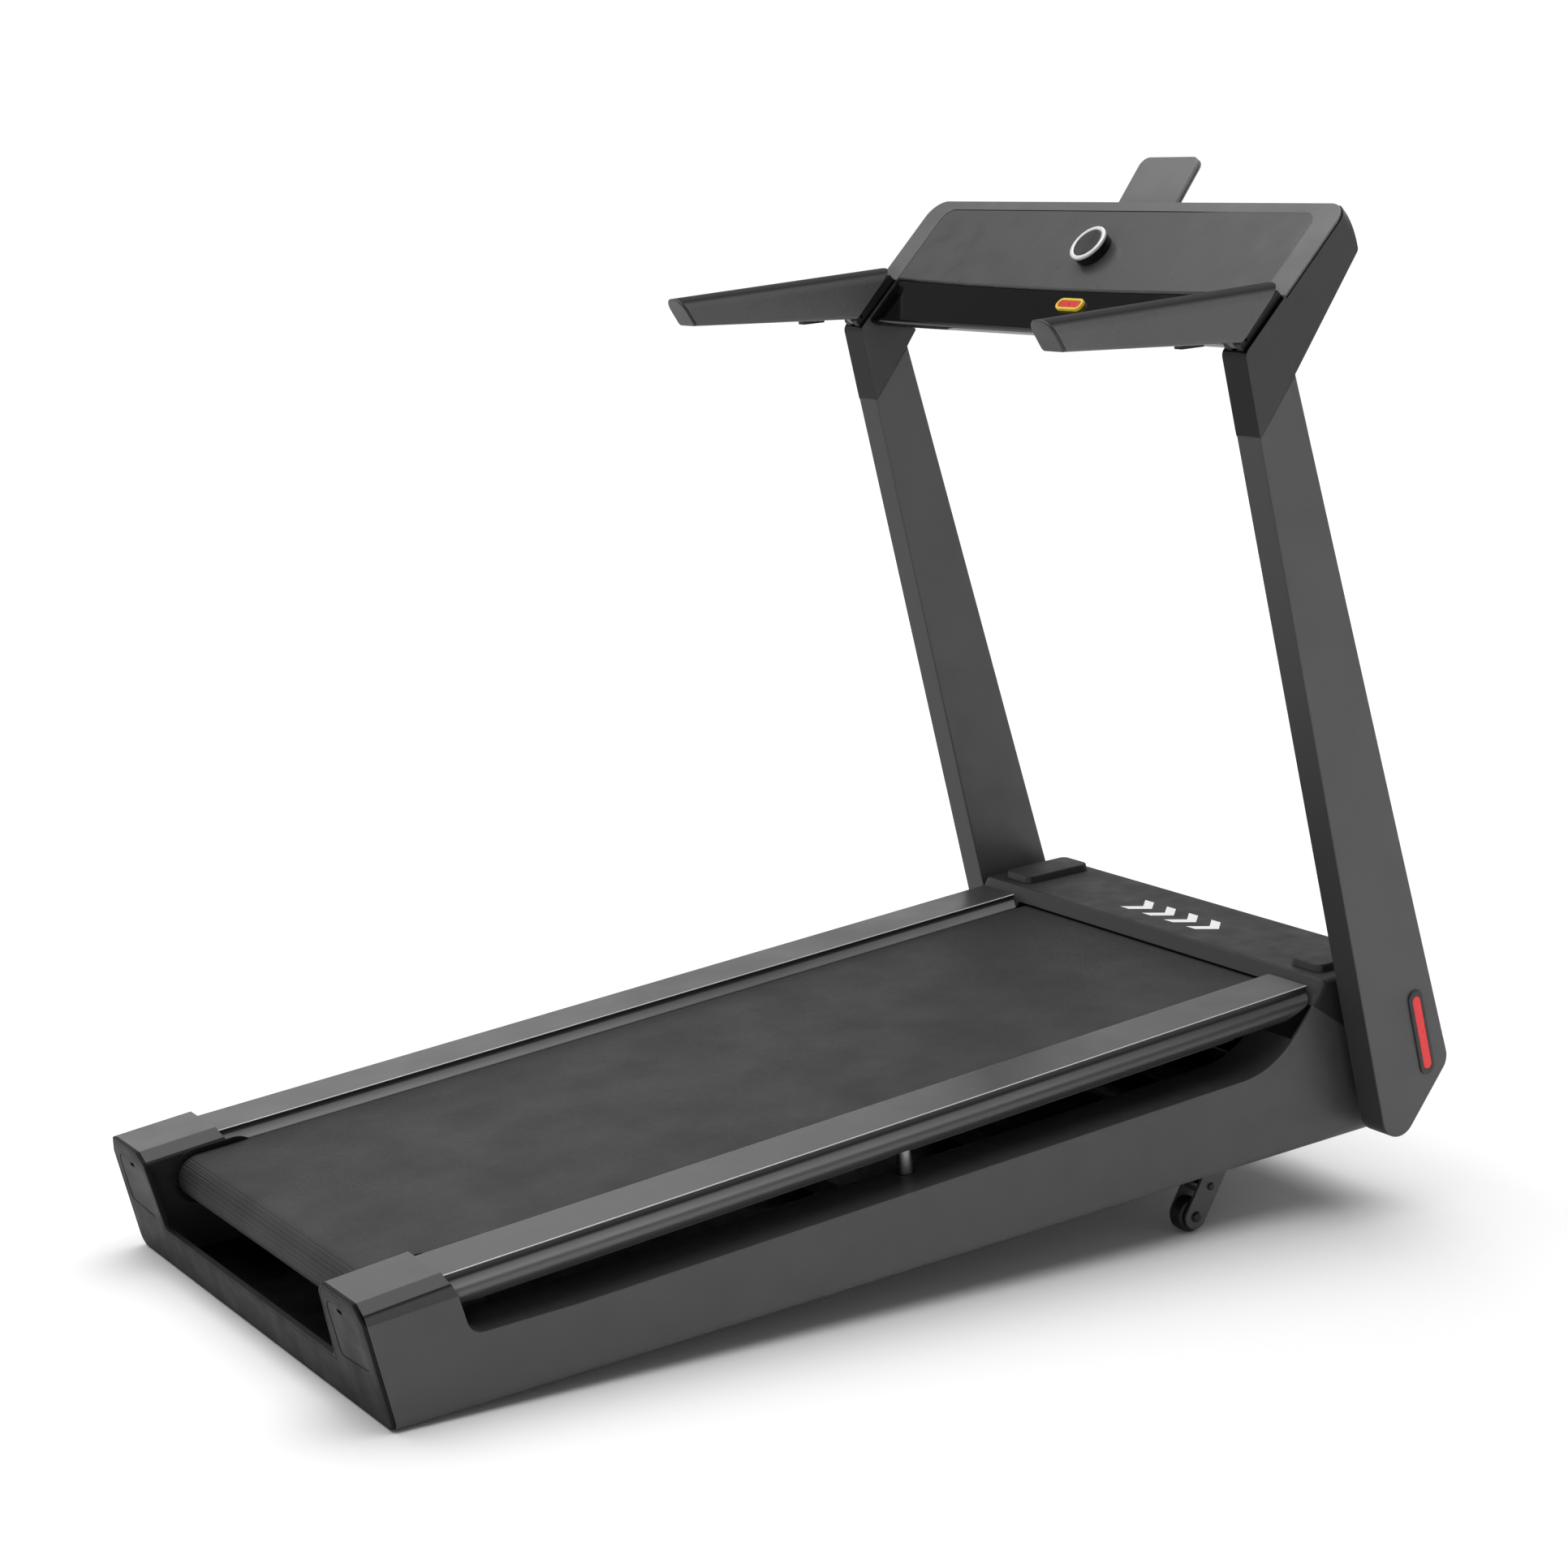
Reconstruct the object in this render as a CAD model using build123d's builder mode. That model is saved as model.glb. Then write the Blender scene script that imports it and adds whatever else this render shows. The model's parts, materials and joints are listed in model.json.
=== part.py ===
from build123d import *
import os
from math import atan2, cos, degrees, hypot, radians, sin, tan

# A home treadmill: an inclined base on rear feet and two front lift wheels, a sprung running deck
# with its belt drive, and a folding mast that carries the handles and the console.
# Millimetres. X is the user's right, Y points forward to the console, Z is up.
# The origin is on the floor, under the middle of the whole machine.

# ---- driving dimensions -------------------------------------------------------------------------
INCLINE = 4.274          # nose-up angle of the base when the lift wheels are down, degrees
DECK_RISE = 2.6          # further nose-up angle of the running deck, degrees
REAR_TO_ORIGIN = 635.7   # floor distance from the rear lower edge forward to the origin

BASE_HALF = 322.0        # half width over the base sides
SIDE_INNER = 252.0       # inner wall of each side channel
BASE_FRONT = 1306.0      # front face of the base
BASE_WALL = 3.5
TOWER_SLOPE = 0.188      # how far the rear face leans back per unit of height
TOWER_TOP = 135.1        # height of the rear tower's top edge
CROSSBAR_TOP = 49.0      # top of the low crossbar between the towers

MAST_OUT = 375.0         # half width over the uprights
MAST_IN = 336.8          # half width between the uprights
MAST_Y = 1262.0          # mast pivot, forward
MAST_Z = 66.0            # mast pivot, height
MAST_PIN_R = 10.0

BELT_HALF = 224.0        # half width of the running belt
BELT_R = 24.5            # outside radius of the belt on its rollers
BELT_THICK = 2.2
ROLLER_R = 22.0
ROLLER_SPAN = 1178.0     # distance between the two roller axles
REAR_AXLE_Y = 38.0
REAR_AXLE_Z = 98.0
AXLE_R = 8.0
FIT = 0.05               # radial clearance of a running fit

RAIL_TOP = 37.0          # rail top above the roller axles, square to the deck
RAIL_BOTTOM = 4.5
RAIL_IN = 242.6          # flat top of the side rail, inner edge
RAIL_OUT = 306.7         # flat top of the side rail, outer edge
RAIL_START = 8.0
RAIL_END = 1134.0

LEG_Y = 1062.4           # lift frame pivot
LEG_Z = 23.12
LEG_REACH = 95.0         # lift pivot to wheel axle
LEG_ANGLE = 56.3         # lean of the leg from the base, degrees
LEG_HALF = 14.5          # half width of the leg plates
WHEEL_R = 19.5
WHEEL_X = 274.0          # middle of each lift wheel

CONSOLE_Y = 1105.1       # lower edge of the display panel
CONSOLE_Z = 971.9
CONSOLE_SLOPE = 43.7
PANEL_LONG = 108.8
KNOB_X = 8.0
KNOB_UP = 49.0

MOTOR_ALONG = 1159.2     # motor shaft, along the deck
MOTOR_UP = -88.7         # motor shaft, square to the deck
MOTOR_R = 40.0
ROLLER_PULLEY_R = 32.0
MOTOR_PULLEY_R = 13.0


# ---- frames -------------------------------------------------------------------------------------
def tilted(frame, y, z, angle):
    """A frame at (y, z) of another frame, turned nose-up by an angle."""
    lean = radians(angle)
    up = frame.z_dir * cos(lean) - frame.y_dir * sin(lean)
    return Plane(origin=frame.from_local_coords((0, y, z)), x_dir=frame.x_dir, z_dir=up)


def across(frame, x):
    """Side view plane: its x runs forward and its y runs up; extruding goes to the right."""
    return Plane(origin=frame.from_local_coords((x, 0, 0)), x_dir=frame.y_dir, z_dir=frame.x_dir)


def facing_rear(frame, y):
    """End view plane: its x runs right and its y runs up; extruding goes to the rear."""
    return Plane(origin=frame.from_local_coords((0, y, 0)), x_dir=frame.x_dir, z_dir=-frame.y_dir)


MACHINE = tilted(Plane.XY, -REAR_TO_ORIGIN, 0, INCLINE)
DECK = tilted(MACHINE, REAR_AXLE_Y, REAR_AXLE_Z, DECK_RISE)
CONSOLE = tilted(MACHINE, CONSOLE_Y, CONSOLE_Z, CONSOLE_SLOPE)
REAR_FACE = Plane(
    origin=MACHINE.origin,
    x_dir=MACHINE.x_dir,
    z_dir=-(MACHINE.y_dir + MACHINE.z_dir * TOWER_SLOPE).normalized(),
)
CAPS = tilted(MACHINE, -TOWER_TOP * TOWER_SLOPE, TOWER_TOP, 4.3)
OUTWARD = Axis(CONSOLE.origin, CONSOLE.z_dir)


# ---- shared shapes ------------------------------------------------------------------------------
def prism(plane, points, depth, corners=()):
    """A plate with the given outline; corners lists (point number, radius)."""
    with BuildPart() as piece:
        with BuildSketch(plane) as profile:
            with BuildLine():
                Polyline(*points, close=True)
            make_face()
            for number, radius in corners:
                fillet(profile.vertices().sort_by_distance(points[number])[0], radius)
        extrude(amount=depth)
    return piece


def block(frame, low, high):
    """A box between two opposite corners in a frame."""
    size = [high[i] - low[i] for i in range(3)]
    middle = ((low[0] + high[0]) / 2, (low[1] + high[1]) / 2, low[2])
    with BuildPart() as piece:
        with BuildSketch(Plane(frame.from_local_coords(middle), frame.x_dir, frame.z_dir)):
            Rectangle(size[0], size[1])
        extrude(amount=size[2])
    return piece


def rod(frame, y, z, radius, x_from, x_to):
    """A cylinder along X."""
    with BuildPart() as piece:
        with BuildSketch(across(frame, x_from)):
            with Locations((y, z)):
                Circle(radius)
        extrude(amount=x_to - x_from)
    return piece


def tube(frame, y, z, radius, bore, x_from, x_to):
    """A tube along X."""
    with BuildPart() as piece:
        with BuildSketch(across(frame, x_from)):
            with Locations((y, z)):
                Circle(radius)
                Circle(bore, mode=Mode.SUBTRACT)
        extrude(amount=x_to - x_from)
    return piece


def save(name, part):
    part.label = name
    export_step(part, f"parts/{name}.step")


def save_pair(name, part):
    """Writes the right-hand part and its mirror image."""
    save(f"{name}_right", part)
    save(f"{name}_left", mirror(part, about=Plane.YZ))


def save_group(name, *solids):
    """Writes separate solids as one node."""
    save(name, Compound(children=list(solids)))


os.makedirs("parts", exist_ok=True)

# ---- base: side channels ------------------------------------------------------------------------
# Each side is a folded channel: outer wall, top ledge and inner wall, open below. Its top dips
# between the rear tower and the front hump, which leaves the slot under the side rail.
side_outline = [
    (4.2, 0), (-17.2, 113.7), (79, 118.6), (89, 75.2), (212, 75.2), (1100.6, 103), (1163, 166.3),
    (1197, 140.6), (1214, 128), (BASE_FRONT, 128), (BASE_FRONT - 4, 20), (BASE_FRONT - 26, 0),
]
LEDGE_SLOPE = degrees(atan2(103 - 75.2, 1100.6 - 212))
LEDGE = tilted(MACHINE, 212, 75.2, LEDGE_SLOPE)
POST_X = 270.0           # shock post, sideways
POST_Y = 420.0           # shock post, along the ledge
POST_R = 8.4
side = prism(
    across(MACHINE, SIDE_INNER), side_outline, BASE_HALF - SIDE_INNER, [(3, 18), (5, 110)]
)
with BuildPart() as base_side:
    add(side.part)
    outer_edges = base_side.edges().filter_by(lambda e: abs(e.center().X - BASE_HALF) < 0.01)
    fillet(outer_edges.sort_by(SortBy.LENGTH)[-1], 10)
    with BuildSketch(across(MACHINE, SIDE_INNER + BASE_WALL)):
        with BuildLine():
            Polyline(*side_outline, close=True)
        make_face()
        offset(amount=-BASE_WALL, kind=Kind.INTERSECTION)
    extrude(amount=BASE_HALF - SIDE_INNER - 2 * BASE_WALL, mode=Mode.SUBTRACT)
    # the open underside
    add(block(MACHINE, (SIDE_INNER + 4, 70, -1), (BASE_HALF - 12, 1120, 5)).part, mode=Mode.SUBTRACT)
    # room for the rail and the axle block at the rear, and for the drive at the front
    add(block(MACHINE, (SIDE_INNER - 1, 30, 80), (318.8, 79, 140)).part, mode=Mode.SUBTRACT)
    add(block(MACHINE, (SIDE_INNER - 1, 78, 92), (318.8, 92, 140)).part, mode=Mode.SUBTRACT)
    add(block(MACHINE, (SIDE_INNER - 1, 1131, 6), (318.5, 1300, 170)).part, mode=Mode.SUBTRACT)
    # bearing of the lift frame and the hole that the shock post slides through
    add(rod(MACHINE, LEG_Y, LEG_Z, 11 + FIT, SIDE_INNER - 1, SIDE_INNER + 5).part, mode=Mode.SUBTRACT)
    with BuildSketch(LEDGE.offset(-10)):
        with Locations((POST_X, POST_Y)):
            Circle(POST_R + 2)
    extrude(amount=20, mode=Mode.SUBTRACT)
save_pair("base_side", base_side.part)

# rubber sleeve lining the post's hole
with BuildPart() as post_sleeve:
    with BuildSketch(LEDGE.offset(-16)):
        with Locations((POST_X, POST_Y)):
            Circle(POST_R + 2)
            Circle(POST_R + 0.9, mode=Mode.SUBTRACT)
    extrude(amount=16.6)
save_group("post_sleeves", post_sleeve.part, mirror(post_sleeve.part, about=Plane.YZ))

# ---- base: rear frame ---------------------------------------------------------------------------
# A U-shaped end casting on the leaning rear face. Heights along the face are a little longer.
FACE = hypot(1, TOWER_SLOPE)
REAR_THICK = 4.0
LIP_DEEP = 6.0          # depth of the lip round the opening
rear_outline = [
    (BASE_HALF, 0), (BASE_HALF, 116 * FACE), (310.5, TOWER_TOP * FACE), (240.4, TOWER_TOP * FACE),
    (226.5, 124 * FACE), (217.5, CROSSBAR_TOP * FACE),
]
rear_points = rear_outline + [(-x, z) for x, z in reversed(rear_outline)]
panel_outline = [(238, 118), (306, 119), (306, 60.6), (239, 56.6)]
rear_plate = prism(
    REAR_FACE, rear_points, -REAR_THICK,
    [(0, 14), (1, 8), (2, 3), (3, 3), (4, 6), (5, 8), (6, 8), (7, 6), (8, 3), (9, 3), (10, 8), (11, 14)],
)
lip_half = [(217.5, CROSSBAR_TOP * FACE), (225.5, 116 * FACE), (227.5, 116 * FACE), (219.4, 47 * FACE)]
lip_points = lip_half + [(-x, z) for x, z in reversed(lip_half)]
with BuildPart() as rear_frame:
    add(rear_plate.part)
    rear_edges = rear_frame.faces().sort_by(Axis.Y)[0].edges()
    fillet(rear_edges, 1.5)
    add(prism(REAR_FACE.offset(-3), lip_points, 3 - LIP_DEEP).part)
    # a fine groove that follows the whole outline
    with BuildSketch(REAR_FACE) as groove:
        with BuildLine():
            Polyline(*rear_points, close=True)
        make_face()
        offset(amount=-3.6, kind=Kind.INTERSECTION)
        with BuildSketch(REAR_FACE, mode=Mode.SUBTRACT):
            with BuildLine():
                Polyline(*rear_points, close=True)
            make_face()
            offset(amount=-4.3, kind=Kind.INTERSECTION)
    extrude(amount=-0.6, mode=Mode.SUBTRACT)
    for side_sign in (1, -1):
        recess = prism(
            REAR_FACE, [(side_sign * x, z * FACE) for x, z in panel_outline], -3,
            [(0, 12), (1, 14), (2, 6), (3, 6)],
        )
        add(recess.part, mode=Mode.SUBTRACT)
save("rear_frame", rear_frame.part)

# end panels in the towers, each with a slot for the belt-tension key
with BuildPart() as end_panel:
    with BuildSketch(REAR_FACE.offset(-3)) as panel_sketch:
        with BuildLine():
            Polyline(*[(x, z * FACE) for x, z in panel_outline], close=True)
        make_face()
        for number, radius in ((0, 12), (1, 14), (2, 6), (3, 6)):
            x, z = panel_outline[number]
            fillet(panel_sketch.vertices().sort_by_distance((x, z * FACE))[0], radius)
        offset(amount=-0.6, kind=Kind.INTERSECTION)
        with Locations((268, 113 * FACE)):
            Rectangle(11, 4.5, mode=Mode.SUBTRACT)
    extrude(amount=2.6)
save_group("end_panels", end_panel.part, mirror(end_panel.part, about=Plane.YZ))

# ---- base: tower caps ---------------------------------------------------------------------------
cap_outline = [
    (BASE_HALF, -27), (BASE_HALF, -12), (310.5, 0), (240.4, 0), (227.9, -11), (227.9, -31),
    (229.8, -31), (229.8, -12.5), (241.5, -2.6), (309.5, -2.6), (319.6, -13), (319.6, -27),
]
tower_cap = prism(
    facing_rear(CAPS, 110), cap_outline, 112, [(1, 6), (2, 1.5), (3, 1.5), (4, 5)]
)
with BuildPart() as tower_cap_trim:
    add(tower_cap.part)
    add(block(MACHINE, (250, -40, 0), (340, 140, 113)).part, mode=Mode.SUBTRACT)
    end_wall = [(200, 100), (340, 100), (340, 150), (200, 150)]
    add(prism(REAR_FACE.offset(12), end_wall, -REAR_THICK - 12.1).part, mode=Mode.SUBTRACT)
    # the front edge slants forward as it goes down to the slot
    front_end = [(92.4, 2), (105, -29), (105, -40), (120, -40), (120, 2)]
    add(prism(across(CAPS, 210), front_end, 120).part, mode=Mode.SUBTRACT)
    add(prism(across(MACHINE, 316), side_outline[:5] + [(212, 0)], 8).part, mode=Mode.SUBTRACT)
save_group("tower_caps", tower_cap_trim.part, mirror(tower_cap_trim.part, about=Plane.YZ))

# ---- base: cross members, floor pan, feet -------------------------------------------------------
cross_members = [
    block(MACHINE, (-SIDE_INNER, y, 6), (SIDE_INNER, y + 40, 30)) for y in (150, 640, 857)
]
save_group("cross_members", *[bar.part for bar in cross_members])
belly_pan = block(MACHINE, (-SIDE_INNER, 16, 2), (SIDE_INNER, 1278, 5))
save("belly_pan", belly_pan.part)
foot_drop = tan(radians(INCLINE))
foot = prism(
    across(MACHINE, 246), [(14, 0), (14, -14 * foot_drop), (58, -58 * foot_drop), (58, 0)], 52
)
save_group("rear_feet", foot.part, mirror(foot.part, about=Plane.YZ))

# ---- base: hood ---------------------------------------------------------------------------------
HOOD_TOP = 193.0
hood_outline = [
    (1163, 166.3), (1171, 177), (1181, HOOD_TOP), (1308, HOOD_TOP), (BASE_FRONT, 128), (1214, 128),
    (1197, 140.6),
]
hood_block = prism(
    across(MACHINE, -BASE_HALF), hood_outline, 2 * BASE_HALF, [(1, 12), (2, 4), (3, 8)]
)
with BuildPart() as hood:
    add(hood_block.part)
    side_edges = hood.edges().filter_by(lambda e: abs(abs(e.center().X) - BASE_HALF) < 0.01)
    top_sides = side_edges.filter_by(lambda e: e.center().Z > MACHINE.from_local_coords((0, 1250, 190)).Z)
    fillet(top_sides.sort_by(SortBy.LENGTH)[-2:], 9)
    inner = prism(
        across(MACHINE, -318.5),
        [(1174.5, 120), (1174.5, 176), (1183, 190), (1305, 190), (1303, 120)], 637,
    )
    add(inner.part, mode=Mode.SUBTRACT)
    add(block(MACHINE, (-238, 1150, 120), (238, 1178, 176.5)).part, mode=Mode.SUBTRACT)
save("hood", hood.part)

with BuildPart() as hood_pad:
    with BuildSketch(MACHINE.offset(HOOD_TOP)):
        with Locations((273, 1244)):
            RectangleRounded(54, 100, 11)
    extrude(amount=9, taper=10)
    fillet(hood_pad.faces().sort_by(Axis.Z)[-1].edges(), 2)
save_group("hood_pads", hood_pad.part, mirror(hood_pad.part, about=Plane.YZ))

# front panel with the power inlet and the rocker's frame
front_panel = prism(
    across(MACHINE, -251.5), [(1302.8, 5.5), (1305, 127.5), (1301.5, 127.5), (1299.5, 5.5)], 503
)
with BuildPart() as front_cover:
    add(front_panel.part)
    add(block(MACHINE, (-238, 1295, 52), (-190, 1309, 80)).part, mode=Mode.SUBTRACT)
    add(block(MACHINE, (-172, 1295, 54), (-144, 1309, 78)).part, mode=Mode.SUBTRACT)
save("front_panel", front_cover.part)
with BuildPart() as power_inlet:
    add(block(MACHINE, (-237.5, 1284, 52.5), (-190.5, 1303.6, 79.5)).part)
    add(block(MACHINE, (-226, 1288, 58), (-202, 1310, 74)).part, mode=Mode.SUBTRACT)
    for pin_x in (-221, -214, -207):
        add(block(MACHINE, (pin_x - 1, 1287.5, 64), (pin_x + 1, 1300, 68)).part)
rocker_frame = block(MACHINE, (-171.5, 1284, 54.5), (-144.5, 1303.4, 77.5))
with BuildPart() as switch_frame:
    add(rocker_frame.part)
    add(block(MACHINE, (-169.5, 1287, 56.5), (-146.5, 1310, 75.5)).part, mode=Mode.SUBTRACT)
save_group("power_module", power_inlet.part, switch_frame.part)
rocker_outline = [(1290, 58.2), (1304.5, 58.4), (1303, 66), (1306, 73.4), (1290, 73.8)]
power_rocker = prism(across(MACHINE, -169.2), rocker_outline, 22.4)
save("power_rocker", power_rocker.part)

# motor controller behind the front panel
with BuildPart() as motor_controller:
    add(block(MACHINE, (120, 1252, 8), (225, 1290, 12)).part)
    for fin in range(8):
        add(block(MACHINE, (126 + 12 * fin, 1256, 12), (130 + 12 * fin, 1286, 48)).part)
save("motor_controller", motor_controller.part)

# ---- lift ---------------------------------------------------------------------------------------
lean = radians(LEG_ANGLE)
LEG = Plane(
    origin=MACHINE.from_local_coords(
        (0, LEG_Y - LEG_REACH * cos(lean), LEG_Z - LEG_REACH * sin(lean))
    ),
    x_dir=MACHINE.x_dir,
    z_dir=MACHINE.y_dir * cos(lean) + MACHINE.z_dir * sin(lean),
)
TORQUE_R = 11.0
CRANK_REACH = 40.0
CRANK_LEAN = 26.0
ROD_Z = LEG_Z + CRANK_REACH
CRANK = tilted(MACHINE, LEG_Y, LEG_Z, CRANK_LEAN)


def slotted_plate(frame, length, half_width, x_from, x_to):
    """A round-ended plate from a frame's origin upwards."""
    with BuildPart() as plate:
        with BuildSketch(across(frame, x_from)):
            with Locations((0, length / 2)):
                SlotCenterToCenter(length, 2 * half_width, rotation=90)
        extrude(amount=x_to - x_from)
    return plate


with BuildPart() as torque_tube:
    add(rod(MACHINE, LEG_Y, LEG_Z, TORQUE_R, -294, 294).part)
    add(slotted_plate(CRANK, CRANK_REACH, 8, -4, 4).part)
    add(rod(MACHINE, LEG_Y, LEG_Z, TORQUE_R - 2.5, -295, 295).part, mode=Mode.SUBTRACT)
save("lift_torque_tube", torque_tube.part)

with BuildPart() as lift_leg:
    add(slotted_plate(LEG, LEG_REACH, LEG_HALF, 260, 263.5).part)
    add(slotted_plate(LEG, LEG_REACH, LEG_HALF, 285.5, 289).part)
    add(block(LEG, (263, -LEG_HALF + 2, 27), (286, LEG_HALF - 6, 31)).part)
    add(rod(MACHINE, LEG_Y, LEG_Z, TORQUE_R, 255, 293).part, mode=Mode.SUBTRACT)
    add(rod(LEG, 0, 0, 4, 255, 293).part, mode=Mode.SUBTRACT)
    add(rod(LEG, 1.6, 38, 3, 255, 293).part, mode=Mode.SUBTRACT)
save_group("lift_legs", lift_leg.part, mirror(lift_leg.part, about=Plane.YZ))


def domed_bolt(frame, y, z, radius, head_radius, head_high):
    """A bolt through both plates of a leg, its domed head outside."""
    with BuildPart() as bolt:
        add(rod(frame, y, z, head_radius, 289, 289 + head_high).part)
        fillet(bolt.faces().sort_by(Axis.X)[-1].edges(), head_high - 0.6)
        add(rod(frame, y, z, radius, 258, 290).part)
    return bolt.part


# wheel axles and spacer bolts
leg_bolts = [domed_bolt(LEG, 0, 0, 4, 6.2, 4), domed_bolt(LEG, 1.6, 38, 3, 4.4, 2.5)]
save_group("leg_bolts", *leg_bolts, *[mirror(bolt, about=Plane.YZ) for bolt in leg_bolts])

HUB_R = 12.5
with BuildPart() as tyre:
    add(tube(LEG, 0, 0, WHEEL_R, HUB_R, WHEEL_X - 9.5, WHEEL_X + 9.5).part)
    fillet(tyre.edges().filter_by(GeomType.CIRCLE).sort_by(SortBy.RADIUS)[-2:], 3)
save_pair("tyre", tyre.part)
hub = tube(LEG, 0, 0, HUB_R, 4 + FIT, WHEEL_X - 10, WHEEL_X + 10)
save_pair("hub", hub.part)

# linear actuator: gearbox and barrel on the base, a forked rod that drives the crank
with BuildPart() as lift_actuator:
    add(block(MACHINE, (-24, 850, 30), (24, 905, 86)).part)
    with BuildSketch(facing_rear(MACHINE, 985)):
        with Locations((0, ROD_Z)):
            Circle(13)
    extrude(amount=90)
    with BuildSketch(facing_rear(MACHINE, 852)):
        with Locations((0, ROD_Z - 6)):
            Circle(21)
    extrude(amount=75)
    with BuildSketch(facing_rear(MACHINE, 986)):
        with Locations((0, ROD_Z)):
            Circle(7 + FIT)
    extrude(amount=126, mode=Mode.SUBTRACT)
save("lift_actuator", lift_actuator.part)
with BuildPart() as lift_rod:
    with BuildSketch(facing_rear(MACHINE, 1018)):
        with Locations((0, ROD_Z)):
            Circle(7)
    extrude(amount=150)
    add(block(MACHINE, (-9, 1018, ROD_Z - 7), (9, 1060, ROD_Z + 7)).part)
    add(block(MACHINE, (-5.5, 1030, ROD_Z - 8), (5.5, 1061, ROD_Z + 8)).part, mode=Mode.SUBTRACT)
save("lift_rod", lift_rod.part)

# ---- running deck -------------------------------------------------------------------------------
rail_profile = [
    (RAIL_IN, RAIL_TOP), (RAIL_OUT, RAIL_TOP), (RAIL_OUT + 0.4, 31), (318.4, 22), (318.4, 16),
    (310, RAIL_BOTTOM), (240, RAIL_BOTTOM), (231, 9), (230.6, 23), (RAIL_IN - 0.4, 31),
]
rail_side = [
    (RAIL_START, 0), (RAIL_END - 48, 0), (RAIL_END - 5, 24), (RAIL_END, 45), (RAIL_START, 45)
]
with BuildPart() as side_rail:
    rail_bar = prism(
        facing_rear(DECK, RAIL_END + 1), rail_profile, RAIL_END - RAIL_START + 2,
        [(0, 1.2), (1, 1.2), (2, 8), (3, 8), (4, 6), (5, 3), (6, 3), (7, 3), (8, 3), (9, 4)],
    )
    add(rail_bar.part)
    add(
        prism(across(DECK, 225), rail_side, 100, [(1, 22), (2, 30)]).part,
        mode=Mode.INTERSECT,
    )
save_pair("side_rail", side_rail.part)

deck_board = prism(
    across(DECK, -228), [(80, 3), (80, 22.1), (1136, 22.1), (1136, 3)], 456, [(1, 6), (2, 6)]
)
save("deck_board", deck_board.part)

with BuildPart() as running_belt:
    with BuildSketch(across(DECK, -BELT_HALF)):
        with Locations((ROLLER_SPAN / 2, 0)):
            SlotCenterToCenter(ROLLER_SPAN, 2 * BELT_R)
            SlotCenterToCenter(ROLLER_SPAN, 2 * (BELT_R - BELT_THICK), mode=Mode.SUBTRACT)
    extrude(amount=2 * BELT_HALF)
save("running_belt", running_belt.part)

# crossbars under the board, closed at both ends by a long side member
MEMBER_X = 253.0
with BuildPart() as deck_subframe:
    for bar_y in (170, 705, 1010):
        add(block(DECK, (-MEMBER_X, bar_y, -15), (MEMBER_X, bar_y + 36, 3)).part)
        for pad_x in (-MEMBER_X, MEMBER_X - 11):
            add(block(DECK, (pad_x, bar_y, 3), (pad_x + 11, bar_y + 36, RAIL_BOTTOM)).part)
    for member_x in (-MEMBER_X - 6, MEMBER_X):
        add(block(DECK, (member_x, 84, -20), (member_x + 6, 1060, RAIL_BOTTOM)).part)
        add(block(DECK, (member_x, 1060, -8), (member_x + 6, 1110, RAIL_BOTTOM)).part)
save("deck_subframe", deck_subframe.part)

with BuildPart() as shock_post:
    with BuildSketch(Plane(DECK.from_local_coords((POST_X, 593, RAIL_BOTTOM)), DECK.x_dir, -DECK.z_dir)):
        Circle(POST_R)
    extrude(amount=74)
save_group("shock_posts", shock_post.part, mirror(shock_post.part, about=Plane.YZ))

# roller guards: a round-ended plate beside the belt with the block that holds the rear axle
GUARD_R = 31.0
with BuildPart() as roller_guard:
    with BuildSketch(across(DECK, BELT_HALF + 0.6)):
        with Locations((22, 0)):
            SlotCenterToCenter(44, 2 * GUARD_R)
        with Locations((22, 0)):
            SlotCenterToCenter(44, 2 * (GUARD_R - 4.5), mode=Mode.SUBTRACT)
    extrude(amount=2)
    with BuildSketch(across(DECK, BELT_HALF + 1.6)):
        with Locations((22, 0)):
            SlotCenterToCenter(44, 2 * GUARD_R - 1)
    extrude(amount=1)
    add(block(DECK, (BELT_HALF + 2, -13, -13), (249, 50, RAIL_BOTTOM)).part)
    add(rod(DECK, 0, 0, AXLE_R, 220, 250).part, mode=Mode.SUBTRACT)
save_group("roller_guards", roller_guard.part, mirror(roller_guard.part, about=Plane.YZ))

rear_axle = rod(DECK, 0, 0, AXLE_R, -249, 249)
front_axle = rod(DECK, ROLLER_SPAN, 0, AXLE_R, -261, 233)
save_group("roller_axles", rear_axle.part, front_axle.part)
rear_roller = tube(DECK, 0, 0, ROLLER_R, AXLE_R + FIT, -223.5, 223.5)
save("rear_roller", rear_roller.part)
front_roller = tube(DECK, ROLLER_SPAN, 0, ROLLER_R, AXLE_R + FIT, -231, 226)
save("front_roller", front_roller.part)

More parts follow.
